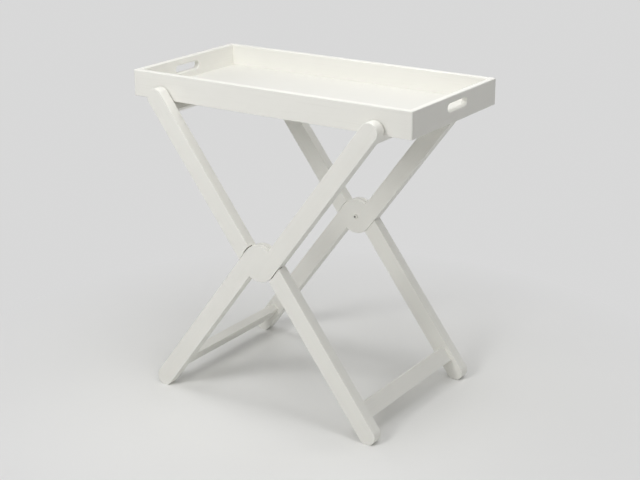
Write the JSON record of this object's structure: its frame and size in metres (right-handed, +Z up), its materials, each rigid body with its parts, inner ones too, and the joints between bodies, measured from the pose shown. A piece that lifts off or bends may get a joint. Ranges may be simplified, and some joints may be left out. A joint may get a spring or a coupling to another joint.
{
  "type": "folding tray table",
  "caption": "White painted wooden tray table: a loose rectangular tray with a hand slot in each end, resting on a folding X stand with round half-lapped pivot hubs.",
  "frame": {"origin": "on the floor, below the middle of the tray", "axes": "+X along the tray to the right, +Y to the rear, +Z up, with the stand open"},
  "size_m": [0.58, 0.343, 0.5975],
  "materials": {
    "painted_wood": "satin warm white paint",
    "painted_panel": "satin warm white paint on a thin board",
    "beech": "bare turned beech",
    "steel": "zinc plated",
    "painted_steel": "white lacquer",
    "nylon": "moulded natural nylon"
  },
  "bodies": {
    "pivots": {"front_pivot_screw": "painted_steel", "rear_pivot_screw": "painted_steel", "front_pivot_washer": "nylon", "rear_pivot_washer": "nylon"},
    "frame_a": {"front_leg_a": "painted_wood", "rear_leg_a": "painted_wood", "upper_right_rail": "painted_wood", "lower_left_rail": "painted_wood", "upper_right_rail_dowels": "beech", "lower_left_rail_dowels": "beech", "front_pivot_insert": "steel", "rear_pivot_bush": "steel"},
    "frame_b": {"front_leg_b": "painted_wood", "rear_leg_b": "painted_wood", "upper_left_rail": "painted_wood", "lower_right_rail": "painted_wood", "upper_left_rail_dowels": "beech", "lower_right_rail_dowels": "beech", "rear_pivot_insert": "steel", "front_pivot_bush": "steel"},
    "tray": {"tray_floor": "painted_panel", "tray_front_wall": "painted_wood", "tray_back_wall": "painted_wood", "tray_left_end": "painted_wood", "tray_right_end": "painted_wood", "tray_corner_dowels": "beech"}
  },
  "joints": [
    {"name": "stand_fold", "type": "hinge", "parent": "pivots", "child": "frame_a", "pos_m": [0, 0, 0.28874], "axis": [0, -1, 0], "range_deg": [0, 36.8]},
    {"name": "frame_b_fold", "type": "hinge", "parent": "pivots", "child": "frame_b", "pos_m": [0, 0, 0.28874], "axis": [0, 1, 0], "range_deg": [0, 36.8]},
    {"name": "tray_lift", "type": "slide", "parent": "pivots", "child": "tray", "axis": [0, 0, 1], "range_m": [0, 0.18]}
  ],
  "couplings": [
    {"joint": "frame_b_fold", "follows": "stand_fold", "ratio": 1},
    {"joint": "tray_lift", "follows": "stand_fold", "m_per_rad": 0.28}
  ]
}
